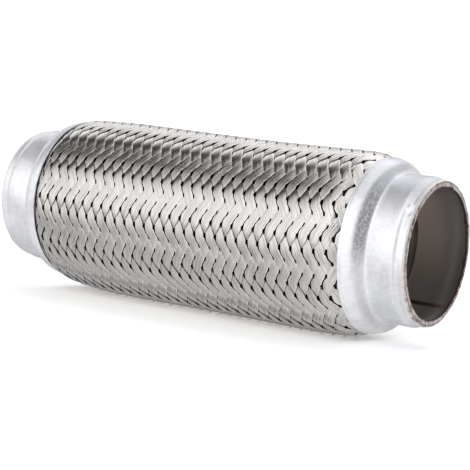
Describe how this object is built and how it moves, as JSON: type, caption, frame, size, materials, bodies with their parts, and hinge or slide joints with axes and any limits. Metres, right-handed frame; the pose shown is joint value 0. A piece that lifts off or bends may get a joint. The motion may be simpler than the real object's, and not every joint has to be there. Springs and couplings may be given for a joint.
{
  "type": "exhaust flex pipe",
  "caption": "Flexible exhaust joint: a bellows with a strip-wound liner inside a woven steel braid, held by a pressed steel cap at each mouth.",
  "frame": {"origin": "middle of the rear mouth, on the plane of its rim", "axes": "+Z along the pipe from the rear mouth to the front mouth; the pipe is round about Z"},
  "size_m": [0.0758, 0.0756, 0.2],
  "materials": {
    "coated_steel": "aluminised mild steel, satin, faintly mottled",
    "braid_steel": "bright stainless wire, lightly scuffed",
    "inner_steel": "dark stainless sheet, smooth, slightly tinted",
    "weld_metal": "rough brown fused edge"
  },
  "bodies": {
    "root": {"front_mouth_weld": "weld_metal", "rear_mouth_weld": "weld_metal", "front_inner_sleeve": "inner_steel", "rear_inner_sleeve": "inner_steel", "front_end_cap": "coated_steel", "rear_end_cap": "coated_steel", "inner_liner": "inner_steel", "bellows": "inner_steel", "outer_braid": "braid_steel"}
  },
  "joints": []
}
